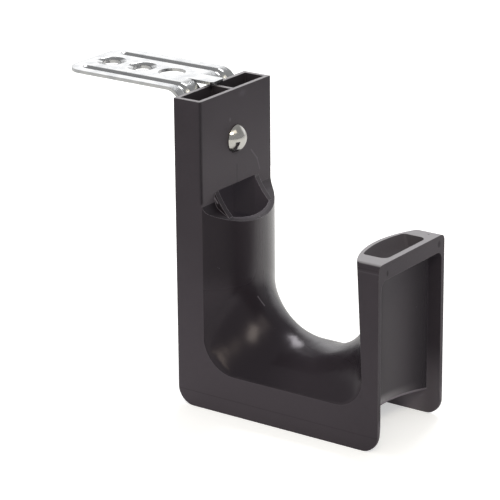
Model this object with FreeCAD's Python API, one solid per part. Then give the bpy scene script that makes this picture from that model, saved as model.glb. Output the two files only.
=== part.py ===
import FreeCAD
import Part
import math
import os

from FreeCAD import Vector

# A cable support hook: a moulded J with a double-curved saddle between two cheeks,
# riveted to a pressed steel angle that screws to a ceiling.
# Millimetres. X runs out from the back of the post, Y across the hook, Z up from the
# feet of the cheeks. The last step moves all pieces so that the plain hole in the
# angle, on its upper face, is the origin.

# The moulded hook, outside
hook_depth = 90.0
hook_width = 44.8
post_depth = 12.0
post_height = 120.8
lip_height = 72.6
foot_radius = 7.0
lip_shoulder_radius = 2.5

# The saddle that the cables lie on
sill_height = 15.8          # edge of the saddle at the cheeks
saddle_rise = 11.4          # how far the saddle swells between the cheeks
saddle_strips = 20          # narrow strips across the hook that make up the swell
inside_strips = 12          # wider ones under it, out of sight
crest_bend = 25.4           # bend radius along the middle of the saddle
cheek_bend_at_post = 14.2
cheek_bend_at_lip = 11.8
lip_depth = 9.4             # top of the lip at the cheeks, from the front
lip_rise = 6.75
lip_lean = 3.0              # degrees, towards the post

# Walls of the moulding
cheek_wall = 1.8
back_wall = 1.7
front_wall = 1.7
web_wall = 1.8
saddle_wall = 2.2
lip_wall = 2.5
rim_clearance = 2.4         # material left under the scooped rim
foot_clearance = 10.5       # height of the inner walls above the feet
foot_wall = 0.7             # free edge of a cheek, which thins below that height
rim_chords = 4              # flats round the lower edge of the wall behind the recess

# Pockets in the top of the post
pocket_floor = 87.0

# Strap opening in the front of the post
strap_top = 84.2
strap_half = 11.7
wing_half = 14.0
wing_reach = 6.5            # past the front of the post
wing_drop = 9.0
wing_bow = 0.5              # how far a wing's free edge bows in
scoop_top = 81.3
scoop_radius = 4.5
scoop_slope = 28.4          # degrees down from level
scoop_reach = 13.0          # past the front of the post

# Lip cap with the strap hole, and the recess under it
cap_height = 6.4
recess_depth = 4.7          # at the cheeks
recess_corner = 3.1
strap_hole_half = 13.8
strap_hole_land = 2.5       # from the front
strap_hole_wall = 1.3
strap_hole_corner = 2.8
strap_hole_throat = 1.5     # round where the bowed side meets the ends
strap_hole_funnel = 4.0     # how far the hole runs down the back of the recess

# Steel angle
sheet = 1.2
angle_width = 35.4
angle_reach = 55.8          # from the back of the post
angle_lift = 2.1            # upper face above the top of the post
angle_bend = 7.0            # outer radius
angle_leg_drop = 12.0       # leg below the rivet
angle_corner = 7.5
plain_hole = (-17.5, 10.4)          # place along X, diameter
screw_holes = (-31.6, -46.4)        # places along X
screw_hole_bore = 7.1
dimple_radius = 5.7
dimple_slope = 16.0
press_crown = 1.7           # radius where the sheet turns down
bead_chords = 2             # short flats in each round of a pressed line
dimple_chords = 1           # and in the round of a dimple
bead_offset = 11.8
bead_depth = 1.1
bead_root = 1.25
bead_start = -51.3
tongue_half = 3.8
tongue_reach = 4.2          # past the back of the post
tongue_corner = 1.5
lance_gap = 0.15

# Rivet
rivet_height = 101.6
rivet_shank = 4.8
rivet_head = 10.9
rivet_crown = 3.7
rivet_rim = 0.5
dome_chords = 8             # narrow bands from the crown to the rim
rivet_tail = 7.6
rivet_tail_height = 1.6
rivet_clearance = 0.1
pillar_width = 9.6

half_width = hook_width / 2
inner_half = half_width - cheek_wall
angle_top = post_height + angle_lift
overrun = 1.0               # how far a cutter runs past the face that it opens

lip_edge = hook_depth - lip_depth
recess_edge = hook_depth - recess_depth

lip_radius = (half_width**2 + lip_rise**2) / (2 * lip_rise)
recess_centre = recess_edge - lip_rise + lip_radius


def box(x0, x1, y0, y1, z0, z1):
    return Part.makeBox(x1 - x0, y1 - y0, z1 - z0, Vector(x0, y0, z0))


def line(a, b):
    return Part.LineSegment(a, b).toShape()


def arc(a, b, c):
    return Part.Arc(a, b, c).toShape()


def face(edges):
    return Part.Face(Part.Wire(edges))


def polygon(points):
    return Part.Face(Part.makePolygon(points + points[:1]))


def spread(total, count):
    # angles from nought to the total in equal steps
    return [total * k / count for k in range(count + 1)]


def swell(y, rise):
    # height at y of the arc that rises by this much over the width of the hook
    radius = (half_width**2 + rise**2) / (2 * rise)
    return math.sqrt(radius**2 - y**2) - (radius - rise)


def saddle_section(y, wall, top):
    # one U across the hook at y; a wall above nought moves it out into the moulding
    share = swell(y, saddle_rise) / saddle_rise
    post_x = post_depth + saddle_rise * share - wall
    floor_z = sill_height + saddle_rise * share - wall
    post_bend = cheek_bend_at_post + (crest_bend - cheek_bend_at_post) * share + wall
    lip_bend = cheek_bend_at_lip + (crest_bend - cheek_bend_at_lip) * share + wall
    lean = math.radians(lip_lean)
    lip_x = lip_edge - swell(y, lip_rise) + wall / math.cos(lean)

    def lip_at(z):
        return lip_x + (lip_height - z) * math.tan(lean)

    def on_arc(x, z, radius, degrees):
        turn = math.radians(degrees)
        return Vector(x + radius * math.cos(turn), y, z + radius * math.sin(turn))

    post_centre = (post_x + post_bend, floor_z + post_bend)
    lip_z = floor_z + lip_bend
    lip_centre = (lip_at(lip_z) - lip_bend / math.cos(lean), lip_z)
    a = Vector(post_x, y, top)
    b = on_arc(*post_centre, post_bend, 180)
    c = on_arc(*post_centre, post_bend, 270)
    d = on_arc(*lip_centre, lip_bend, 270)
    e = on_arc(*lip_centre, lip_bend, 360 + lip_lean)
    f = Vector(lip_at(top), y, top)
    return Part.Wire([
        line(a, b),
        arc(b, on_arc(*post_centre, post_bend, 225), c),
        line(c, d),
        arc(d, on_arc(*lip_centre, lip_bend, 315), e),
        line(e, f),
        line(f, a),
    ])


def cable_space(wall, strips):
    reach = half_width + overrun
    places = [reach * (2 * i / strips - 1) for i in range(strips + 1)]
    top = strap_top + overrun
    return Part.makeLoft([saddle_section(y, wall, top) for y in places], True, True)


def rim():
    slope = math.radians(scoop_slope)
    turn = math.radians(270 - scoop_slope)
    centre = (post_depth + scoop_radius, scoop_top)
    half_turn = (math.pi + turn) / 2
    top = Vector(post_depth, 0, scoop_top)
    mid = Vector(centre[0] + scoop_radius * math.cos(half_turn), 0,
                 centre[1] + scoop_radius * math.sin(half_turn))
    low = Vector(centre[0] + scoop_radius * math.cos(turn), 0,
                 centre[1] + scoop_radius * math.sin(turn))
    edge = post_depth + scoop_reach
    far = Vector(edge, 0, low.z - (edge - low.x) * math.tan(slope))
    foot = lip_height - 4 * rim_clearance
    inner = post_depth - overrun
    corner = Vector(inner, 0, foot)
    scoop = face([
        line(Vector(inner, 0, scoop_top), top),
        arc(top, mid, low),
        line(low, far),
        line(far, Vector(edge, 0, foot)),
        line(Vector(edge, 0, foot), corner),
        line(corner, Vector(inner, 0, scoop_top)),
    ])
    scoop.translate(Vector(0, -half_width, 0))
    return scoop.extrude(Vector(0, hook_width, 0)).fuse(wings(inner, foot))


def wings(inner, foot):
    # one block over the strap opening, which leaves a wing on each side of itself
    start = Vector(post_depth, -wing_half, strap_top)
    end = Vector(post_depth + wing_reach, -wing_half, strap_top - wing_drop)
    length = math.hypot(wing_reach, wing_drop)
    bowed = (start + end) / 2 - Vector(wing_drop, 0, wing_reach) * (wing_bow / length)
    below = Vector(end.x, -wing_half, foot)
    profile = face([
        line(Vector(inner, -wing_half, strap_top), start),
        arc(start, bowed, end),
        line(end, below),
        line(below, Vector(inner, -wing_half, foot)),
        line(Vector(inner, -wing_half, foot), Vector(inner, -wing_half, strap_top)),
    ])
    return profile.extrude(Vector(0, 2 * wing_half, 0))


def outer_block():
    base = box(0, hook_depth, -half_width, half_width, 0, lip_height)
    feet = [e for e in base.Edges
            if abs(e.BoundBox.ZMax) < 1e-6 and e.BoundBox.YLength > hook_width / 2]
    base = base.makeFillet(foot_radius, feet)
    shoulders = [e for e in base.Edges
                 if e.BoundBox.ZMin > lip_height - 1e-6 and e.BoundBox.YLength < 1e-6]
    base = base.makeFillet(lip_shoulder_radius, shoulders)
    post = box(0, post_depth, -half_width, half_width, lip_height / 2, post_height)
    return base.fuse([post, rim()])


def bowed_block(radius, far, half, bottom, top):
    # stands on the arc of the lip's recess, at this radius, and reaches out to far
    def at(y):
        return Vector(recess_centre - math.sqrt(radius**2 - y**2), y, bottom)

    near = Vector(far, -half, bottom)
    wide = Vector(far, half, bottom)
    plan = face([
        arc(at(-half), at(0), at(half)),
        line(at(half), wide),
        line(wide, near),
        line(near, at(-half)),
    ])
    return plan.extrude(Vector(0, 0, top - bottom))


def recess():
    roof = lip_height - cap_height
    room = bowed_block(lip_radius, hook_depth + overrun, inner_half, -overrun, roof)
    window = box(recess_edge - 2 * lip_rise, hook_depth + overrun, -inner_half,
                 inner_half, -overrun, roof)
    corners = [e for e in window.Edges
               if e.BoundBox.ZMin > roof - 1e-6 and e.BoundBox.YLength < 1e-6]
    return room.common(window.makeFillet(recess_corner, corners))


def strap_hole_outline(radius, z):
    half = strap_hole_half
    r = strap_hole_corner

    def at(y):
        return Vector(recess_centre - math.sqrt(radius**2 - y**2), y, z)

    bevel = r * (1 - math.sqrt(0.5))
    flat = hook_depth - strap_hole_land
    return Part.Wire([
        arc(at(-half), at(0), at(half)),
        line(at(half), Vector(flat - r, half, z)),
        arc(Vector(flat - r, half, z), Vector(flat - bevel, half - bevel, z),
            Vector(flat, half - r, z)),
        line(Vector(flat, half - r, z), Vector(flat, r - half, z)),
        arc(Vector(flat, r - half, z), Vector(flat - bevel, bevel - half, z),
            Vector(flat - r, -half, z)),
        line(Vector(flat - r, -half, z), at(-half)),
    ])


def strap_hole():
    lean = math.tan(math.radians(lip_lean))
    saddle_side = recess_centre - (lip_edge - lip_rise + strap_hole_wall)
    top = lip_height + overrun
    roof = lip_height - cap_height
    upper = strap_hole_outline(saddle_side + overrun * lean, top)
    lower = strap_hole_outline(lip_radius, roof - strap_hole_funnel)
    hole = Part.makeLoft([upper, lower], True, True)
    ends = [e for e in hole.Edges
            if e.BoundBox.ZLength > cap_height and e.BoundBox.XMax < lip_edge + strap_hole_corner]
    return hole.makeFillet(strap_hole_throat, ends)


def foot_space():
    # room between the cheeks below the inner walls, wider at the feet
    section = polygon([
        Vector(-overrun, -inner_half, foot_clearance),
        Vector(-overrun, foot_wall - half_width, 0),
        Vector(-overrun, foot_wall - half_width, -overrun),
        Vector(-overrun, half_width - foot_wall, -overrun),
        Vector(-overrun, half_width - foot_wall, 0),
        Vector(-overrun, inner_half, foot_clearance),
    ])
    return section.extrude(Vector(hook_depth + 2 * overrun, 0, 0))


def hollow():
    # the open room behind the saddle, and the way up to the strap opening
    under = cable_space(saddle_wall, inside_strips)
    ceiling = lip_height - 2 * rim_clearance
    room = box(back_wall, recess_edge, -inner_half, inner_half, -overrun, ceiling)
    room = room.cut(bowed_block(lip_radius + lip_wall, hook_depth + overrun,
                                half_width, -2 * overrun, lip_height))
    duct = box(back_wall, post_depth + saddle_rise + overrun, -strap_half, strap_half,
               ceiling - overrun, strap_top)
    return room.fuse(duct).cut(under)


def lower_rim():
    # blunt round end of the wall behind the recess
    middle = recess_centre - lip_radius - lip_wall / 2
    turns = spread(math.pi, rim_chords)
    section = polygon([Vector(middle + lip_wall / 2 * math.cos(turn), 0,
                              foot_clearance - lip_wall / 2 * math.sin(turn))
                       for turn in turns])
    ring = section.revolve(Vector(recess_centre, 0, 0), Vector(0, 0, 1), 360)
    keep = box(recess_edge - 2 * lip_rise, hook_depth, -inner_half - overrun / 2,
               inner_half + overrun / 2, 0, 2 * foot_clearance)
    return ring.common(keep)


def pockets():
    floor = box(back_wall, post_depth - front_wall, -inner_half, inner_half,
                pocket_floor, post_height + overrun)
    web = box(0, post_depth, -web_wall / 2, web_wall / 2, 0, post_height + 2 * overrun)
    pillar = box(0, post_depth, -pillar_width / 2, pillar_width / 2, 0, rivet_height)
    boss = Part.makeCylinder(pillar_width / 2, post_depth, Vector(0, 0, rivet_height),
                             Vector(1, 0, 0))
    return floor.cut([web, pillar, boss])


def rivet_bore():
    return Part.makeCylinder(rivet_shank / 2 + rivet_clearance, hook_depth,
                             Vector(-hook_depth / 2, 0, rivet_height), Vector(1, 0, 0))


def hook_body():
    body = outer_block()
    space = cable_space(0, saddle_strips)
    body = body.cut([space, recess(), hollow(), strap_hole(), pockets(), foot_space()])
    body = body.fuse(lower_rim())
    body = body.cut(rivet_bore())
    return body.removeSplitter()


def turn_down(profile):
    # carries a cross-section of the sheet from the end of the flat, round and down
    bend_z = angle_top - angle_bend
    edge = Vector(-angle_bend, 0, bend_z)
    bend = profile.revolve(edge, Vector(0, 1, 0), 90)
    leg_profile = profile.copy()
    leg_profile.rotate(edge, Vector(0, 1, 0), 90)
    leg_end = rivet_height - angle_leg_drop
    leg = leg_profile.extrude(Vector(0, 0, leg_end - bend_z))
    return bend.fuse(leg)


def sheet_strip(y0, y1, x_start):
    x = -angle_bend
    section = polygon([
        Vector(x, y0, angle_top - sheet),
        Vector(x, y1, angle_top - sheet),
        Vector(x, y1, angle_top),
        Vector(x, y0, angle_top),
    ])
    flat = section.extrude(Vector(x_start - x, 0, 0))
    return flat.fuse(turn_down(section))


def bead_span():
    reach = press_crown + bead_root
    return math.sqrt(reach**2 - (reach - bead_depth)**2)


def bead_outline(y, x, offset, side):
    # half of the pressed line at this depth below the upper face, from flat to root
    crown = press_crown - offset
    root = bead_root + offset
    reach = press_crown + bead_root
    turn = math.acos((reach - bead_depth) / reach)
    turns = spread(turn, bead_chords)
    down = [Vector(x, y + side * (bead_span() - crown * math.sin(t)),
                   angle_top - press_crown + crown * math.cos(t)) for t in turns]
    root_z = angle_top - bead_depth + bead_root
    along = [Vector(x, y + side * root * math.sin(t), root_z - root * math.cos(t))
             for t in turns[-2::-1]]
    return down + along


def bead_face(y, x, sides):
    # cross-section of a pressed line, whole or the half on one side of its middle
    upper = bead_outline(y, x, 0, sides[0])
    lower = bead_outline(y, x, sheet, sides[0])
    if len(sides) == 2:
        upper += bead_outline(y, x, 0, sides[1])[-2::-1]
        lower += bead_outline(y, x, sheet, sides[1])[-2::-1]
    return polygon(upper + lower[::-1])


def bead(y):
    start = bead_start + bead_span()
    section = bead_face(y, -angle_bend, (-1, 1))
    flat = section.extrude(Vector(start + angle_bend, 0, 0))
    end = bead_face(y, start, (1,)).revolve(Vector(start, y, 0), Vector(0, 0, 1), 180)
    return flat.fuse([turn_down(section), end])


def bead_slot(y):
    span = bead_span()
    start = bead_start + span
    strip = sheet_strip(y - span, y + span, start)
    end = Part.makeCylinder(span, sheet, Vector(start, y, angle_top - sheet))
    return strip.fuse(end)


def dimple(x):
    # sheet pressed down round a screw hole
    slope = math.radians(dimple_slope)
    bore = screw_hole_bore / 2

    def at(radius, turn):
        return Vector(x + dimple_radius - radius * math.sin(turn), 0,
                      angle_top - press_crown + radius * math.cos(turn))

    def down_to_bore(start):
        inward = start.x - x - bore
        return start - Vector(inward, 0, inward * math.tan(slope))

    turns = spread(slope, dimple_chords)
    upper = [at(press_crown, turn) for turn in turns]
    lower = [at(press_crown - sheet, turn) for turn in turns]
    upper.append(down_to_bore(upper[-1]))
    lower.append(down_to_bore(lower[-1]))
    section = polygon(upper + lower[::-1])
    return section.revolve(Vector(x, 0, 0), Vector(0, 0, 1), 360)


def upright_hole(x, diameter):
    return Part.makeCylinder(diameter / 2, 4 * sheet,
                             Vector(x, 0, angle_top - 3 * sheet))


def tongue():
    plate = box(-angle_bend, tongue_reach, -tongue_half, tongue_half,
                angle_top - sheet, angle_top)
    corners = [e for e in plate.Edges
               if e.BoundBox.XMin > tongue_reach - 1e-6 and e.BoundBox.ZLength > sheet / 2]
    return plate.makeFillet(tongue_corner, [e for e in corners if e.BoundBox.YLength < 1e-6])


def ceiling_bracket():
    plate = sheet_strip(-angle_width / 2, angle_width / 2, -angle_reach)
    corners = [e for e in plate.Edges
               if e.BoundBox.XMax < 1e-6 - angle_reach and e.BoundBox.YLength < 1e-6]
    plate = plate.makeFillet(angle_corner, corners)
    cuts = [bead_slot(-bead_offset), bead_slot(bead_offset)]
    cuts += [upright_hole(x, 2 * dimple_radius) for x in screw_holes]
    cuts.append(upright_hole(*plain_hole))
    tongue_length = angle_bend + tongue_reach
    middle = angle_bend - sheet / 2
    window_drop = tongue_length - middle * math.pi / 2
    window = box(-angle_bend, overrun, -tongue_half - lance_gap, tongue_half + lance_gap,
                 angle_top - angle_bend - window_drop, angle_top + overrun)
    cuts += [window, rivet_bore()]
    plate = plate.cut(cuts)
    pressed = [bead(-bead_offset), bead(bead_offset)] + [dimple(x) for x in screw_holes]
    return plate.fuse(pressed + [tongue()]).removeSplitter()


def rivet():
    shank_end = -sheet - rivet_tail_height / 2
    shank = Part.makeCylinder(rivet_shank / 2, post_depth + rivet_rim - shank_end,
                              Vector(shank_end, 0, rivet_height), Vector(1, 0, 0))
    rise = rivet_crown - rivet_rim
    reach = rivet_head / 2
    radius = (reach**2 + rise**2) / (2 * rise)
    turns = spread(math.asin(reach / radius), dome_chords)
    dome = [Vector(post_depth + rivet_crown - radius * (1 - math.cos(turn)), 0,
                   rivet_height + radius * math.sin(turn)) for turn in turns]
    head = polygon([Vector(post_depth, 0, rivet_height)] + dome
                   + [Vector(post_depth, 0, rivet_height + reach)])
    head = head.revolve(Vector(0, 0, rivet_height), Vector(1, 0, 0), 360)
    tail = Part.makeCylinder(rivet_tail / 2, rivet_tail_height,
                             Vector(-sheet, 0, rivet_height), Vector(-1, 0, 0))
    rim_edge = [e for e in tail.Edges
                if e.BoundBox.XMax < -sheet - rivet_tail_height / 2]
    tail = tail.makeChamfer(rivet_tail_height / 2, rim_edge)
    return shank.fuse([head, tail]).removeSplitter()


def write(name, shape):
    placed = shape.copy()
    placed.translate(Vector(-plain_hole[0], 0, -angle_top))
    placed.exportStep("parts/" + name + ".step")
    bounds = placed.optimalBoundingBox(False, False)
    print(name, "solids", len(placed.Solids), "valid", placed.isValid(),
          "volume", round(placed.Volume, 1), "size", round(bounds.XLength, 2),
          round(bounds.YLength, 2), round(bounds.ZLength, 2))


os.makedirs("parts", exist_ok=True)
write("hook_body", hook_body())
write("ceiling_bracket", ceiling_bracket())
write("rivet", rivet())
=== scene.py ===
import bpy
import math
from mathutils import Euler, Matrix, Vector


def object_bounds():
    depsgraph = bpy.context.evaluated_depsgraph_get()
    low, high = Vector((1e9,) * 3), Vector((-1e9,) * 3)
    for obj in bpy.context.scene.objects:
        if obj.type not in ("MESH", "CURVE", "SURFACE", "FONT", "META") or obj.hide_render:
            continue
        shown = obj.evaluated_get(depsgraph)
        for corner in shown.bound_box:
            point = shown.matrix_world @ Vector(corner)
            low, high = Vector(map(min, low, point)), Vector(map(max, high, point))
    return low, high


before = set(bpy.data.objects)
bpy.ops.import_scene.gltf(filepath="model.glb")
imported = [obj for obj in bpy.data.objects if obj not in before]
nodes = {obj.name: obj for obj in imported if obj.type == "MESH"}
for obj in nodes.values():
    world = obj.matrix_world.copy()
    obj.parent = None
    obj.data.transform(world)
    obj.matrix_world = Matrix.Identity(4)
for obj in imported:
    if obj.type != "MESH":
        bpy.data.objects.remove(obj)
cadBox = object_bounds()
print("frame loaded:", ", ".join(sorted(nodes)))

mm = 0.001
shift = Vector((17.5, 0.0, -122.9))  # mm from the foot of the post's back to the rod hole
white = (1.0, 1.0, 1.0, 1.0)
black = (0.0, 0.0, 0.0, 1.0)


# small helpers for node trees

def place(tree, kind, **settings):
    node = tree.nodes.new(kind)
    for name, value in settings.items():
        setattr(node, name, value)
    return node


def feed(tree, socket, value):
    if isinstance(value, bpy.types.NodeSocket):
        tree.links.new(value, socket)
    else:
        socket.default_value = value


def calc(tree, operation, *values, clamp=False):
    node = place(tree, "ShaderNodeMath", operation=operation, use_clamp=clamp)
    for socket, value in zip(node.inputs, values):
        feed(tree, socket, value)
    return node.outputs[0]


def above(tree, value, limit):
    return calc(tree, "GREATER_THAN", value, limit)


def below(tree, value, limit):
    return calc(tree, "LESS_THAN", value, limit)


def product(tree, first, *others):
    for other in others:
        first = calc(tree, "MULTIPLY", first, other)
    return first


def diagonal(tree, first, second):
    squares = calc(tree, "ADD", product(tree, first, first), product(tree, second, second))
    return calc(tree, "SQRT", squares)


def vectorCalc(tree, operation, *values):
    node = place(tree, "ShaderNodeVectorMath", operation=operation)
    for socket, value in zip(node.inputs, values):
        feed(tree, socket, value)
    return node.outputs["Value" if operation in ("LENGTH", "DOT_PRODUCT") else "Vector"]


def ramp(tree, value, low, high, toLow=0.0, toHigh=1.0):
    node = place(tree, "ShaderNodeMapRange", interpolation_type="SMOOTHSTEP")
    for name, amount in zip(("Value", "From Min", "From Max", "To Min", "To Max"),
                            (value, low, high, toLow, toHigh)):
        feed(tree, node.inputs[name], amount)
    return node.outputs["Result"]


def between(tree, value, low, high, soft):
    # one from low to high, with an edge of this half width
    return product(tree, ramp(tree, value, low - soft, low + soft),
                   ramp(tree, value, high + soft, high - soft))


def blendColour(tree, factor, first, second):
    node = place(tree, "ShaderNodeMix", data_type="RGBA")
    feed(tree, node.inputs[0], factor)
    feed(tree, node.inputs[6], first)
    feed(tree, node.inputs[7], second)
    return node.outputs[2]


def layered(tree, colour, *layers):
    # each layer is a mask and the colour that it brings
    for mask, over in layers:
        colour = blendColour(tree, mask, colour, over)
    return colour


def noise(tree, vector, scale, detail, rough):
    node = place(tree, "ShaderNodeTexNoise")
    feed(tree, node.inputs["Vector"], vector)
    feed(tree, node.inputs["Scale"], scale)
    feed(tree, node.inputs["Detail"], detail)
    feed(tree, node.inputs["Roughness"], rough)
    return node.outputs["Fac"]


def newGroup(name, inputs, outputs):
    group = bpy.data.node_groups.new(name, "ShaderNodeTree")
    for label, kind, value in inputs:
        socket = group.interface.new_socket(label, in_out="INPUT", socket_type=kind)
        if value is not None:
            socket.default_value = value
    for label, kind in outputs:
        group.interface.new_socket(label, in_out="OUTPUT", socket_type=kind)
    return group, place(group, "NodeGroupInput"), place(group, "NodeGroupOutput")


def useGroup(tree, group, **values):
    node = place(tree, "ShaderNodeGroup", node_tree=group)
    for name, value in values.items():
        feed(tree, node.inputs[name.replace("_", " ")], value)
    return node


def newMaterial(name):
    material = bpy.data.materials.new(name)
    material.use_nodes = True
    tree = material.node_tree
    return material, tree, tree.nodes["Principled BSDF"]


def dress(node, material):
    slots = nodes[node].material_slots
    for slot in slots:
        slot.material = material
    if not slots:
        nodes[node].data.materials.append(material)


# where the surface is, and masks by place

def footPlace(tree):
    # in millimetres from the foot of the post
    coords = place(tree, "ShaderNodeTexCoord")
    node = place(tree, "ShaderNodeVectorMath", operation="MULTIPLY_ADD")
    feed(tree, node.inputs[0], coords.outputs["Object"])
    feed(tree, node.inputs[1], (1.0 / mm, 1.0 / mm, 1.0 / mm))
    feed(tree, node.inputs[2], tuple(-shift))
    return node.outputs[0]


def axes(tree, vector, names="xyz"):
    node = place(tree, "ShaderNodeSeparateXYZ")
    feed(tree, node.inputs[0], vector)
    return [node.outputs[name.upper()] for name in names]


def facingAxes(tree):
    return axes(tree, place(tree, "ShaderNodeNewGeometry").outputs["Normal"])


def fade(tree, at, area):
    # from each first value to each second, along every axis that the area names
    along = dict(zip("xyz", axes(tree, at)))
    return product(tree, *[ramp(tree, along[axis], *limits) for axis, limits in area.items()])


def inside(tree, at, box):
    # low, high and how soft the edge is, for every axis that the box names
    along = dict(zip("xyz", axes(tree, at)))
    return product(tree, *[between(tree, along[axis], *limits) for axis, limits in box.items()])


def nearMiddle(tree, at, half):
    return below(tree, calc(tree, "ABSOLUTE", axes(tree, at, "y")[0]), half)


# shared surface effects

edgeShape = {
    "samples": 8,
    "turned": (0.995, 0.86),         # cosine of the turn where the edge mask starts and where it is full
    "patchScale": 260.0,
    "patchSpread": (0.3, 0.62),
}


def edgeMaskGroup():
    group, given, out = newGroup(
        "edgeMask",
        [("Width", "NodeSocketFloat", 0.0004), ("Breakup", "NodeSocketFloat", 0.4)],
        [("Mask", "NodeSocketFloat"), ("Normal", "NodeSocketVector")])
    rounded = place(group, "ShaderNodeBevel", samples=edgeShape["samples"])
    feed(group, rounded.inputs["Radius"], given.outputs["Width"])
    geometry = place(group, "ShaderNodeNewGeometry")
    close = vectorCalc(group, "DOT_PRODUCT", rounded.outputs[0], geometry.outputs["Normal"])
    turned = ramp(group, close, *edgeShape["turned"])
    coords = place(group, "ShaderNodeTexCoord")
    patches = noise(group, coords.outputs["Object"], edgeShape["patchScale"], detail=3.0, rough=0.5)
    patches = ramp(group, patches, *edgeShape["patchSpread"])
    kept = calc(group, "SUBTRACT", 1.0, given.outputs["Breakup"])
    share = calc(group, "MULTIPLY_ADD", patches, given.outputs["Breakup"], kept)
    feed(group, out.inputs["Mask"], calc(group, "MULTIPLY", turned, share, clamp=True))
    feed(group, out.inputs["Normal"], rounded.outputs[0])
    return group


def grainGroup():
    group, given, out = newGroup(
        "fineGrain",
        [("Scale", "NodeSocketFloat", 1500.0), ("Cloud Scale", "NodeSocketFloat", 60.0)],
        [("Grain", "NodeSocketFloat"), ("Cloud", "NodeSocketFloat")])
    surface = place(group, "ShaderNodeTexCoord").outputs["Object"]
    grain = noise(group, surface, given.outputs["Scale"], detail=4.0, rough=0.6)
    cloud = noise(group, surface, given.outputs["Cloud Scale"], detail=2.0, rough=0.5)
    feed(group, out.inputs["Grain"], grain)
    feed(group, out.inputs["Cloud"], cloud)
    return group


def spotGroup():
    # an oval spot, in millimetres from the foot of the post
    group, given, out = newGroup(
        "spotMask",
        [("Place", "NodeSocketVector", None), ("Centre", "NodeSocketVector", None),
         ("Reach", "NodeSocketVector", (1.0, 1.0, 1.0)), ("Edge", "NodeSocketFloat", 0.6)],
        [("Mask", "NodeSocketFloat")])
    away = vectorCalc(group, "SUBTRACT", given.outputs["Place"], given.outputs["Centre"])
    away = vectorCalc(group, "DIVIDE", away, given.outputs["Reach"])
    far = vectorCalc(group, "LENGTH", away)
    feed(group, out.inputs["Mask"], ramp(group, far, 1.0, given.outputs["Edge"]))
    return group


def strokeGroup():
    # a thin line between two places, in millimetres from the foot of the post
    group, given, out = newGroup(
        "strokeMask",
        [("Place", "NodeSocketVector", None), ("Start", "NodeSocketVector", None),
         ("End", "NodeSocketVector", None), ("Width", "NodeSocketFloat", 0.2)],
        [("Mask", "NodeSocketFloat")])
    along = vectorCalc(group, "SUBTRACT", given.outputs["End"], given.outputs["Start"])
    away = vectorCalc(group, "SUBTRACT", given.outputs["Place"], given.outputs["Start"])
    share = calc(group, "DIVIDE", vectorCalc(group, "DOT_PRODUCT", away, along),
                 vectorCalc(group, "DOT_PRODUCT", along, along), clamp=True)
    scaled = place(group, "ShaderNodeVectorMath", operation="SCALE")
    feed(group, scaled.inputs[0], along)
    feed(group, scaled.inputs["Scale"], share)
    far = vectorCalc(group, "LENGTH", vectorCalc(group, "SUBTRACT", away, scaled.outputs[0]))
    feed(group, out.inputs["Mask"], ramp(group, far, given.outputs["Width"], 0.0))
    return group


edgeMask = edgeMaskGroup()
fineGrain = grainGroup()
spotMask = spotGroup()
strokeMask = strokeGroup()
print("surface effects ready")


# the faces of each node are joined up again, and shaded smooth except over sharp edges

sharpFrom = {"hook_body": 37.0, "ceiling_bracket": 30.0, "rivet": 30.0}  # degrees
joinReach = 0.005 * mm


def smoothGroup(name, limit):
    group = bpy.data.node_groups.new(name, "GeometryNodeTree")
    for way in ("INPUT", "OUTPUT"):
        group.interface.new_socket("Geometry", in_out=way, socket_type="NodeSocketGeometry")
    given = place(group, "NodeGroupInput")
    out = place(group, "NodeGroupOutput")
    joined = place(group, "GeometryNodeMergeByDistance")
    feed(group, joined.inputs["Geometry"], given.outputs[0])
    joined.inputs["Distance"].default_value = joinReach
    bare = place(group, "GeometryNodeRemoveAttribute")
    feed(group, bare.inputs["Geometry"], joined.outputs[0])
    bare.inputs["Name"].default_value = "custom_normal"
    smooth = place(group, "GeometryNodeSetShadeSmooth", domain="FACE")
    feed(group, smooth.inputs[0], bare.outputs[0])
    rounded = place(group, "GeometryNodeSetShadeSmooth", domain="EDGE")
    feed(group, rounded.inputs[0], smooth.outputs[0])
    sharp = place(group, "GeometryNodeSetShadeSmooth", domain="EDGE")
    feed(group, sharp.inputs[0], rounded.outputs[0])
    angle = place(group, "GeometryNodeInputMeshEdgeAngle")
    turned = place(group, "FunctionNodeCompare", data_type="FLOAT", operation="GREATER_THAN")
    feed(group, turned.inputs[0], angle.outputs["Unsigned Angle"])
    turned.inputs[1].default_value = math.radians(limit)
    feed(group, sharp.inputs["Selection"], turned.outputs[0])
    sharp.inputs["Shade Smooth"].default_value = False
    feed(group, out.inputs[0], sharp.outputs[0])
    return group


for name, limit in sharpFrom.items():
    joiner = nodes[name].modifiers.new("smoothFaces", "NODES")
    joiner.node_group = smoothGroup(name + "Faces", limit)
    evener = nodes[name].modifiers.new("evenNormals", "WEIGHTED_NORMAL")
    evener.keep_sharp = True
print("faces smoothed")


# black moulded nylon

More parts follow.
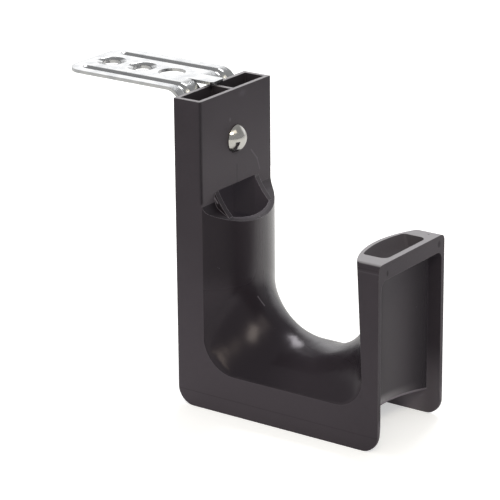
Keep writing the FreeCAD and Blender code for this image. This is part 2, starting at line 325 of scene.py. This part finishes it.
hookLook = {
    "colour": (0.0310, 0.0262, 0.0325, 1.0),
    "cloudGain": 1.2,
    # painted light: lighter towards the bottom
    "paintedLowLight": (0.058, 0.050, 0.061, 1.0),
    # painted light: the post's front face, fading out upwards
    "paintedFrontLight": (0.076, 0.068, 0.078, 1.0),
    # painted light: the lip's outer face, lighter towards the far side
    "paintedLipLight": (0.052, 0.046, 0.054, 1.0),
    "paintedLipFarLight": (0.062, 0.055, 0.064, 1.0),
    "polishColour": (0.0270, 0.0222, 0.0278, 1.0),
    # painted shade on the saddle's bend
    "bendPaintedShade": (0.0180, 0.0145, 0.0187, 1.0),
    "floorColour": (0.0275, 0.0225, 0.0280, 1.0),
    # painted shade on the near side of the saddle's column
    "shadeColour": (0.0140, 0.0110, 0.0145, 1.0),
    # painted light on the far side of the saddle's column
    "farPaintedLight": (0.043, 0.037, 0.044, 1.0),
    # painted shade inside the strap's way down, and a faint painted glow there
    "ductPaintedShade": (0.030, 0.0262, 0.0305, 1.0),
    "ductPaintedGlow": (0.0172, 0.0148, 0.0176, 1.0),
    # painted light inside the pockets
    "paintedPocketLight": (0.041, 0.036, 0.043, 1.0),
    # painted light on the walls of the strap hole in the lip
    "paintedSlotLight": (0.088, 0.080, 0.091, 1.0),
    # painted light: faces that look up, and a painted highlight band at the recess's foot
    "paintedTopLight": (0.295, 0.285, 0.304, 1.0),
    # painted light on the near part of the recess
    "paintedRecessLight": (0.058, 0.053, 0.060, 1.0),
    # painted light under the lip and at the foot of the far wall, lighter still deep under the lip
    "paintedUnderLight": (0.110, 0.099, 0.114, 1.0),
    "paintedDeepLight": (0.300, 0.270, 0.310, 1.0),
    # edges paler from wear and from a painted highlight
    "edgeWearAndHighlightColour": (0.110, 0.106, 0.112, 1.0),
    # painted highlight, also used for dust
    "lightMarkAndPaintedLight": (0.205, 0.190, 0.222, 1.0),
    # painted shade
    "darkMarkAndPaintedLight": (0.009, 0.007, 0.010, 1.0),
    "grainScale": 1900.0,
    "grainSpread": (0.2, 0.8),
    "grainHeight": 0.00004,
    "grainStrength": 0.35,
    "cloudScale": 45.0,
    "cloudSpread": (0.3, 0.7),
    "matteRoughness": (0.47, 0.59),
    "polishRoughness": (0.24, 0.40),
    "specular": 0.30,
    "specularTint": (1.0, 0.92, 1.02, 1.0),
    "crestCoat": 0.65,
    "coatRoughness": 0.2,
    "edgeWidth": 0.0003,
    "edgeBreakup": 0.35,
    "dustScale": 0.9,
    "dustSpread": (0.75, 0.82, 0.0, 0.25),

    # places in mm: x from the post's back, y from the middle, z from the feet; a turn is how
    # far a face looks along x or y
    "saddle": {"half": 22.38, "front": 12.1, "foot": 14.0, "rim": 84.3, "turned": 0.3,
               "lipSide": 60.0, "lipDrop": 12.0, "lipEdge": 80.7, "lipTop": 72.6, "lean": 0.0524},
    "recess": {"half": 20.59, "x": (77.0, 89.5), "foot": 10.6, "turned": 0.3},
    "slot": {"box": {"x": (72.0, 87.6, 0.05), "z": (66.0, 72.5, 0.05)}, "half": 13.9,
             "frontWall": 84.0, "turned": -0.2},
    "duct": {"back": 1.6, "front": 22.3, "bow": -0.021, "box": {"z": (-1.0, 84.0, 0.1)},
             "narrows": (11.8, 12.0, 20.7, 11.8), "widens": (68.0, 66.0, 0.0, 20.7)},
    "lowFade": {"z": (90.0, 4.0), "x": (95.0, 20.0, 0.35)},
    "front": {"box": {"x": (11.5, 12.3, 0.1)}, "fade": {"z": (134.0, 82.0)}, "turned": 0.9},
    "lip": {"from": 89.7, "fade": {"y": (-12.0, 18.0)}, "turned": 0.9},
    "upward": (0.75, 0.98),
    "pocket": {"box": {"x": (1.6, 10.4, 0.05), "z": (86.0, 120.6, 0.1)}, "half": 20.7},
    "under": {"fade": {"z": (14.0, 10.0)}, "half": 22.2, "deep": {"x": (87.0, 73.0)}},
    "farWall": {"box": {"x": (78.0, 90.2, 0.3), "y": (19.5, 22.2, 0.1)},
                "fade": {"z": (30.0, 11.0)}, "turned": -0.6},
    "bend": {"x": (36.0, 56.0)},
    "column": {"z": (30.0, 52.0)},
    "nearShade": {"z": (44.0, 56.0), "y": (-8.0, -17.0)},
    "farLight": {"z": (38.0, 54.0), "y": (-9.0, 3.0), "x": (40.0, 28.0)},
    "recessShade": {"y": (8.0, 19.0)},
    "recessLight": {"y": (20.0, 5.0)},
    "recessFoot": {"z": (14.5, 11.0), "y": (20.0, -10.0)},
    "duller": {"z": (40.0, 62.0), "y": (2.0, -9.0)},
    "crest": {"z": (30.0, 44.0), "y": (-8.0, 0.0)},
    "insideLip": {"box": {"x": (76.0, 89.0, 0.1)}, "half": 20.8, "top": 66.0},
    "insidePost": 11.0,
    "paintedRimHighlight": {"x": (12.1, 34.0, 0.2), "z": (71.0, 85.0, 0.4)},
    "paintedSideShade": {"box": {"x": (80.0, 90.2, 0.2)}, "side": -22.3,
                 "fade": {"z": (69.6, 71.0, 0.0, 0.40)}},

    # fine lines of painted highlight and painted shade: start, end, width, strength
    "lightLines": [
        ((24.8, -4.7, 42.6), (26.8, -3.4, 39.0), 0.45, 0.5),
        ((12.0, 9.6, 94.8), (12.0, 13.5, 90.5), 0.5, 0.35),
        ((12.0, 13.5, 90.5), (12.0, 15.2, 85.8), 0.5, 0.30),
        ((79.6, 21.1, 5.3), (82.3, 20.9, 7.2), 0.5, 0.5),
        ((80.9, -22.4, 69.4), (90.0, -22.4, 69.4), 0.4, 0.12),
        ((12.0, -14.0, 81.9), (13.2, -14.0, 80.2), 0.6, 1.0),
    ],
    "darkLines": [
        ((12.0, -22.1, 120.6), (12.0, -22.1, 82.0), 1.25, 1.0),
        ((12.0, 0.4, 91.3), (12.0, 0.3, 84.6), 0.5, 0.35),
        ((80.0, -20.7, 72.6), (90.0, -20.7, 72.6), 0.35, 0.35),
        ((0.0, -22.4, 6.1), (90.0, -22.4, 6.1), 0.35, 0.30),
    ],

    # oval patches of painted highlight and painted shade: centre, reach, strength
    "lightSpots": [
        ((12.0, -3.7, 109.8), (1.0, 0.9, 1.3), 0.25),
        ((12.0, 4.2, 118.3), (1.0, 3.6, 2.0), 0.12),
    ],
    "darkSpots": [
        ((90.0, -16.7, 68.5), (1.0, 0.8, 1.5), 1.0),
        ((90.0, 18.6, 69.4), (1.0, 1.3, 1.7), 0.75),
        ((85.9, 17.8, 72.6), (0.5, 0.6, 0.5), 0.6),
        ((12.0, 0.0, 101.6), (1.0, 6.5, 6.5), 0.75),
    ],
    "spotEdge": {"light": 0.0, "dark": 0.4},
}


def saddleMask(tree, area, at, facing):
    x, z = axes(tree, at, "xz")
    nearLip = above(tree, x, area["lipSide"])
    leaned = calc(tree, "MULTIPLY_ADD", z, area["lean"], x)
    height = calc(tree, "MULTIPLY_ADD", nearLip, area["lipDrop"], z)
    return product(tree, nearMiddle(tree, at, area["half"]),
                   below(tree, leaned, area["lipEdge"] + area["lean"] * area["lipTop"]),
                   below(tree, product(tree, facing[0], nearLip), area["turned"]),
                   below(tree, height, area["rim"]), above(tree, x, area["front"]),
                   above(tree, z, area["foot"]))


def recessMask(tree, area, at, facing):
    # down the back of the lip
    x, z = axes(tree, at, "xz")
    start, end = area["x"]
    return product(tree, nearMiddle(tree, at, area["half"]), above(tree, facing[0], area["turned"]),
                   above(tree, x, start), below(tree, x, end), above(tree, z, area["foot"]))


def slotMask(tree, area, at, facing):
    # the walls of the strap hole in the lip
    x = axes(tree, at, "x")[0]
    inward = calc(tree, "MAXIMUM", above(tree, facing[0], area["turned"]),
                  above(tree, x, area["frontWall"]))
    return product(tree, inward, inside(tree, at, area["box"]), nearMiddle(tree, at, area["half"]))


def ductMask(tree, area, at):
    # the strap's way down behind the saddle
    x, y, z = axes(tree, at)
    half = calc(tree, "MAXIMUM", ramp(tree, x, *area["narrows"]), ramp(tree, z, *area["widens"]))
    front = calc(tree, "MULTIPLY_ADD", product(tree, y, y), area["bow"], area["front"])
    return product(tree, above(tree, x, area["back"]), below(tree, x, front),
                   inside(tree, at, area["box"]), nearMiddle(tree, at, half))


def matteColour(tree, look, at, facing, cloud, duct):
    # everything but the saddle and the recess, with painted light on the lower part, the post's front,
    # the lip's outer face, upward faces, the pockets, under the lip and the far wall's foot, and
    # painted shade inside the strap's way down
    x = axes(tree, at, "x")[0]
    lighter = tuple(c * look["cloudGain"] for c in look["colour"][:3]) + (1.0,)
    area = look["front"]
    front = product(tree, above(tree, facing[0], area["turned"]), inside(tree, at, area["box"]),
                    fade(tree, at, area["fade"]))
    area = look["lip"]
    lip = product(tree, above(tree, facing[0], area["turned"]), above(tree, x, area["from"]))
    paintedLipLight = blendColour(tree, fade(tree, at, area["fade"]), look["paintedLipLight"],
                            look["paintedLipFarLight"])
    area = look["pocket"]
    pocket = product(tree, inside(tree, at, area["box"]), nearMiddle(tree, at, area["half"]))
    area = look["under"]
    under = product(tree, nearMiddle(tree, at, area["half"]), fade(tree, at, area["fade"]))
    deep = blendColour(tree, fade(tree, at, area["deep"]), look["paintedUnderLight"], look["paintedDeepLight"])
    area = look["farWall"]
    farWall = product(tree, below(tree, facing[1], area["turned"]), inside(tree, at, area["box"]),
                      fade(tree, at, area["fade"]))
    return layered(tree, look["colour"],
                   (cloud, lighter),
                   (fade(tree, at, look["lowFade"]), look["paintedLowLight"]),
                   (front, look["paintedFrontLight"]),
                   (lip, paintedLipLight),
                   (ramp(tree, facing[2], *look["upward"]), look["paintedTopLight"]),
                   (duct, look["ductPaintedShade"]),
                   (pocket, look["paintedPocketLight"]),
                   (under, deep),
                   (farWall, deep))


def polishedColour(tree, look, at, recess):
    # the saddle and the recess, with painted shade on the bend, on the column's near side and on the
    # recess's far side, painted light on the column's far side and the recess's near part, and a
    # painted highlight band at the recess's foot
    def inRecess(name):
        return product(tree, recess, fade(tree, at, look[name]))

    bend = blendColour(tree, fade(tree, at, look["bend"]), look["bendPaintedShade"], look["floorColour"])
    return layered(tree, bend,
                   (fade(tree, at, look["column"]), look["polishColour"]),
                   (fade(tree, at, look["nearShade"]), look["shadeColour"]),
                   (fade(tree, at, look["farLight"]), look["farPaintedLight"]),
                   (inRecess("recessShade"), look["darkMarkAndPaintedLight"]),
                   (inRecess("recessLight"), look["paintedRecessLight"]),
                   (inRecess("recessFoot"), look["paintedTopLight"]))


def paleEdges(tree, look, at, colour, roundedEdges, duct):
    # edges paler from wear and from a painted highlight, a stronger painted highlight on the rims
    # round the strap opening, none deep inside
    x, z = axes(tree, at, "xz")
    area = look["insideLip"]
    inLip = product(tree, inside(tree, at, area["box"]), nearMiddle(tree, at, area["half"]),
                    below(tree, z, area["top"]))
    inPost = product(tree, duct, below(tree, x, look["insidePost"]))
    sheltered = calc(tree, "MAXIMUM", inLip, inPost)
    edgeWearAndHighlight = product(tree, roundedEdges, calc(tree, "SUBTRACT", 1.0, sheltered))
    paintedRimHighlight = product(tree, edgeWearAndHighlight, inside(tree, at, look["paintedRimHighlight"]))
    return layered(tree, colour, (edgeWearAndHighlight, look["edgeWearAndHighlightColour"]), (paintedRimHighlight, look["lightMarkAndPaintedLight"]))


def markedColour(tree, look, at, colour):
    # a band of painted shade along the lip's near side, dust, and fine lines and oval patches of
    # painted highlight and painted shade
    area = look["paintedSideShade"]
    band = product(tree, inside(tree, at, area["box"]),
                   below(tree, axes(tree, at, "y")[0], area["side"]), fade(tree, at, area["fade"]))
    dust = ramp(tree, noise(tree, at, look["dustScale"], detail=2.0, rough=0.6), *look["dustSpread"])
    layers = [(band, look["darkMarkAndPaintedLight"]), (dust, look["lightMarkAndPaintedLight"])]
    for kind in ("light", "dark"):
        for start, end, width, strength in look[kind + "Lines"]:
            line = useGroup(tree, strokeMask, Place=at, Start=start, End=end, Width=width)
            layers.append((product(tree, line.outputs["Mask"], strength), look[kind + "MarkAndPaintedLight"]))
    for kind, edge in look["spotEdge"].items():
        for centre, reach, strength in look[kind + "Spots"]:
            oval = useGroup(tree, spotMask, Place=at, Centre=centre, Reach=reach, Edge=edge)
            layers.append((product(tree, oval.outputs["Mask"], strength), look[kind + "MarkAndPaintedLight"]))
    return layered(tree, colour, *layers)


def hookRoughness(tree, look, at, grain, polished):
    rough = place(tree, "ShaderNodeMix", data_type="FLOAT")
    feed(tree, rough.inputs[0], polished)
    feed(tree, rough.inputs[2], ramp(tree, grain, *look["grainSpread"], *look["matteRoughness"]))
    feed(tree, rough.inputs[3],
         ramp(tree, fade(tree, at, look["duller"]), 0.0, 1.0, *look["polishRoughness"]))
    return rough.outputs[0]


def hookMaterial(look):
    material, tree, shader = newMaterial("hookNylon")
    at = footPlace(tree)
    facing = facingAxes(tree)
    slot = slotMask(tree, look["slot"], at, facing)
    recess = recessMask(tree, look["recess"], at, facing)
    saddle = saddleMask(tree, look["saddle"], at, facing)
    duct = ductMask(tree, look["duct"], at)
    polished = product(tree, calc(tree, "MAXIMUM", saddle, recess),
                       calc(tree, "SUBTRACT", 1.0, slot))
    grain = useGroup(tree, fineGrain, Scale=look["grainScale"], Cloud_Scale=look["cloudScale"])
    roundedEdges = useGroup(tree, edgeMask, Width=look["edgeWidth"], Breakup=look["edgeBreakup"])

    cloud = ramp(tree, grain.outputs["Cloud"], *look["cloudSpread"])
    colour = layered(tree, matteColour(tree, look, at, facing, cloud, duct),
                     (polished, polishedColour(tree, look, at, recess)),
                     (slot, look["paintedSlotLight"]))
    colour = paleEdges(tree, look, at, colour, roundedEdges.outputs["Mask"], duct)
    feed(tree, shader.inputs["Base Color"], markedColour(tree, look, at, colour))
    # a faint painted glow inside the strap's way down
    feed(tree, shader.inputs["Emission Color"], blendColour(tree, duct, black, look["ductPaintedGlow"]))
    shader.inputs["Emission Strength"].default_value = 1.0

    feed(tree, shader.inputs["Roughness"],
         hookRoughness(tree, look, at, grain.outputs["Grain"], polished))
    feed(tree, shader.inputs["Coat Weight"],
         product(tree, saddle, fade(tree, at, look["crest"]), look["crestCoat"]))
    shader.inputs["Coat Roughness"].default_value = look["coatRoughness"]
    shader.inputs["Specular IOR Level"].default_value = look["specular"]
    shader.inputs["Specular Tint"].default_value = look["specularTint"]

    bump = place(tree, "ShaderNodeBump")
    bump.inputs["Distance"].default_value = look["grainHeight"]
    bump.inputs["Strength"].default_value = look["grainStrength"]
    feed(tree, bump.inputs["Height"],
         product(tree, grain.outputs["Grain"], calc(tree, "SUBTRACT", 1.0, polished)))
    feed(tree, bump.inputs["Normal"], roundedEdges.outputs["Normal"])
    feed(tree, shader.inputs["Normal"], bump.outputs[0])
    return material


dress("hook_body", hookMaterial(hookLook))
print("hook dressed")


# zinc-plated sheet and the bright rivet

sheetLook = {
    "colour": (0.60, 0.605, 0.61, 1.0),
    "shadeColour": (0.49, 0.50, 0.515, 1.0),
    "roughness": (0.14, 0.29),
    # painted shade along the edges and round the holes
    "paintedEdgeShade": (0.20, 0.20, 0.205, 1.0),
    "rimWidth": 0.0005,
    "rimShare": 0.75,
    # mm from the post's back and from the middle; the reach is from the middle of each hole
    "dimples": {"x": [-46.4, -31.6], "reach": (3.4, 5.9), "rise": 0.45},
    "border": {"end": -55.8, "side": 17.7, "corner": 7.5, "width": (0.9, 0.1),
               "upward": (0.8, 0.95), "share": 0.4},
}

rivetLook = {
    "colour": (0.66, 0.65, 0.62, 1.0),
    "shadeColour": (0.56, 0.55, 0.52, 1.0),
    "roughness": (0.08, 0.23),
    # painted shade along the edges
    "paintedEdgeShade": (0.45, 0.44, 0.42, 1.0),
    "rimWidth": 0.0002,
    "rimShare": 0.3,
}

plating = {
    "grainScale": 2600.0,
    "grainHeight": 0.00003,
    "grainStrength": 0.2,
    "cloudScale": 170.0,
    "shadeSpread": (0.35, 0.75),
    "roughSpread": (0.2, 0.8),
    "rimBreakup": 0.5,
}


def borderMask(tree, area, at):
    # painted shade along the free edges of the flat, on its upper face
    x, y = axes(tree, at, "xy")
    corner = area["corner"]
    pastEnd = calc(tree, "SUBTRACT", area["end"] + corner, x)
    pastSide = calc(tree, "SUBTRACT", calc(tree, "ABSOLUTE", y), area["side"] - corner)
    outward = diagonal(tree, calc(tree, "MAXIMUM", pastEnd, 0.0), calc(tree, "MAXIMUM", pastSide, 0.0))
    start, full = area["width"]
    return product(tree, ramp(tree, outward, corner - start, corner - full),
                   ramp(tree, facingAxes(tree)[2], *area["upward"]), area["share"])


def dimpledNormal(tree, area, at, normal):
    # a shallow slope round each dimpled hole
    x, y = axes(tree, at, "xy")
    low, high = area["reach"]
    for middle in area["x"]:
        far = diagonal(tree, calc(tree, "SUBTRACT", x, middle), y)
        press = place(tree, "ShaderNodeBump")
        press.inputs["Distance"].default_value = mm * area["rise"]
        press.inputs["Strength"].default_value = 1.0
        feed(tree, press.inputs["Height"],
             calc(tree, "MINIMUM", calc(tree, "MAXIMUM", far, low), high))
        feed(tree, press.inputs["Normal"], normal)
        normal = press.outputs[0]
    return normal


def platedMaterial(name, look):
    material, tree, shader = newMaterial(name)
    at = footPlace(tree)
    grain = useGroup(tree, fineGrain, Scale=plating["grainScale"], Cloud_Scale=plating["cloudScale"])
    cloud = grain.outputs["Cloud"]
    rim = useGroup(tree, edgeMask, Width=look["rimWidth"], Breakup=plating["rimBreakup"])
    # painted shade: darker along the edges
    colour = layered(tree, look["colour"],
                     (ramp(tree, cloud, *plating["shadeSpread"]), look["shadeColour"]),
                     (product(tree, rim.outputs["Mask"], look["rimShare"]), look["paintedEdgeShade"]))
    if "border" in look:
        colour = blendColour(tree, borderMask(tree, look["border"], at), colour, look["paintedEdgeShade"])
    feed(tree, shader.inputs["Base Color"], colour)
    feed(tree, shader.inputs["Roughness"],
         ramp(tree, cloud, *plating["roughSpread"], *look["roughness"]))
    shader.inputs["Metallic"].default_value = 1.0

    bump = place(tree, "ShaderNodeBump")
    bump.inputs["Distance"].default_value = plating["grainHeight"]
    bump.inputs["Strength"].default_value = plating["grainStrength"]
    feed(tree, bump.inputs["Height"], grain.outputs["Grain"])
    normal = bump.outputs[0]
    if "dimples" in look:
        normal = dimpledNormal(tree, look["dimples"], at, normal)
    feed(tree, shader.inputs["Normal"], normal)
    return material


dress("ceiling_bracket", platedMaterial("platedSheet", sheetLook))
dress("rivet", platedMaterial("platedRivet", rivetLook))
print("metal dressed")


# floor, light and background

studio = {
    "floorSize": 12.0,
    "floorColour": (0.82, 0.82, 0.82, 1.0),
    "floorRoughness": 0.9,
    "floorSpecular": 0.1,
    "floorLift": 0.5,
    "worldStrength": 0.55,
    "roomStrength": 0.34,            # what a shiny surface sees of the room in front
    "behind": (-0.574, 0.819, 0.0),  # the way to the white backdrop, and where it starts
    "behindFade": (0.3, 0.6),
    "backdropTop": (18.0, 36.0),     # degrees above level where the white backdrop fades out
    "lampPower": 4.0,                # watts for each square metre of lamp of brightness one
    "lamps": [
        # name, azimuth, elevation, distance, width, height, brightness, colour
        ("keyLamp", 199.0, 57.0, 1.4, 0.50, 0.42, 9.0, (1.0, 1.0, 1.0)),
        ("backLamp", 214.0, 20.0, 1.4, 1.1, 0.7, 0.45, (1.0, 1.0, 1.0)),
        ("glowLamp", 42.0, 43.0, 1.4, 0.6, 0.3, 5.2, (1.0, 0.94, 0.76)),
        ("sideLamp", 78.0, 50.0, 1.4, 0.7, 0.5, 0.9, (1.0, 0.92, 0.76)),
        ("frontLamp", -3.0, 10.0, 1.4, 0.5, 0.26, 3.0, (1.0, 0.91, 0.70)),
        ("trailLamp", 14.0, 25.0, 1.4, 0.4, 0.24, 1.1, (1.0, 0.92, 0.70)),
    ],
}


def sightRays(tree):
    # one for rays that look at the background, and one for rays that mirror it
    path = place(tree, "ShaderNodeLightPath")
    seen = calc(tree, "MAXIMUM", path.outputs["Is Camera Ray"], path.outputs["Is Transmission Ray"])
    return seen, path.outputs["Is Glossy Ray"]


def makeFloor(lowest):
    bpy.ops.mesh.primitive_plane_add(size=studio["floorSize"], location=(0.0, 0.0, lowest))
    floor = bpy.context.object
    floor.name = "floor"
    material, tree, shader = newMaterial("floorPaper")
    shader.inputs["Base Color"].default_value = studio["floorColour"]
    shader.inputs["Roughness"].default_value = studio["floorRoughness"]
    shader.inputs["Specular IOR Level"].default_value = studio["floorSpecular"]
    shader.inputs["Emission Color"].default_value = white
    feed(tree, shader.inputs["Emission Strength"],
         product(tree, sightRays(tree)[0], studio["floorLift"]))
    floor.data.materials.append(material)


def makeWorld():
    world = bpy.data.worlds.new("studio")
    world.use_nodes = True
    bpy.context.scene.world = world
    tree = world.node_tree
    background = tree.nodes["Background"]
    background.inputs["Color"].default_value = white
    coords = place(tree, "ShaderNodeTexCoord")
    away = vectorCalc(tree, "NORMALIZE", coords.outputs["Generated"])
    low, high = [math.sin(math.radians(v)) for v in studio["backdropTop"]]
    seen, mirrored = sightRays(tree)
    behind = ramp(tree, vectorCalc(tree, "DOT_PRODUCT", away, studio["behind"]),
                  *studio["behindFade"])
    backdrop = calc(tree, "MAXIMUM", seen, product(tree, mirrored, behind))
    backdrop = product(tree, backdrop, ramp(tree, axes(tree, away, "z")[0], high, low))
    dim = ramp(tree, mirrored, 0.0, 1.0, studio["worldStrength"], studio["roomStrength"])
    strength = calc(tree, "MULTIPLY_ADD", backdrop, calc(tree, "SUBTRACT", 1.0, dim), dim)
    feed(tree, background.inputs["Strength"], strength)


def makeLamps(target):
    for name, azimuth, elevation, distance, width, height, brightness, colour in studio["lamps"]:
        lamp = bpy.data.lights.new(name, "AREA")
        lamp.shape = "RECTANGLE"
        lamp.size = width
        lamp.size_y = height
        lamp.energy = studio["lampPower"] * brightness * width * height
        lamp.color = colour
        holder = bpy.data.objects.new(name, lamp)
        bpy.context.scene.collection.objects.link(holder)
        a, e = math.radians(azimuth), math.radians(elevation)
        away = Vector((math.sin(a) * math.cos(e), -math.cos(a) * math.cos(e), math.sin(e)))
        holder.location = target + away * distance
        holder.rotation_euler = away.to_track_quat("Z", "Y").to_euler()
        holder.visible_camera = False


cameraView = {
    "azimuth": 35.431,
    "elevation": 19.213,
    "roll": -0.502,
    "lens": 189.35,
    "sensorWidth": 36.0,
    "place": (0.58011, -0.76558, 0.26304),
}


def makeCamera(view):
    camera = bpy.data.objects.new("camera", bpy.data.cameras.new("camera"))
    bpy.context.scene.collection.objects.link(camera)
    turn = Euler((math.radians(90.0 - view["elevation"]), 0.0, math.radians(view["azimuth"])))
    roll = Euler((0.0, 0.0, math.radians(view["roll"])))
    camera.rotation_euler = (turn.to_matrix() @ roll.to_matrix()).to_euler()
    camera.location = view["place"]
    camera.data.lens = view["lens"]
    camera.data.sensor_width = view["sensorWidth"]
    bpy.context.scene.camera = camera


lowest, highest = cadBox
makeFloor(lowest.z)
makeWorld()
makeLamps((lowest + highest) / 2)
makeCamera(cameraView)
bpy.context.scene.view_settings.view_transform = "Standard"
print("studio ready")
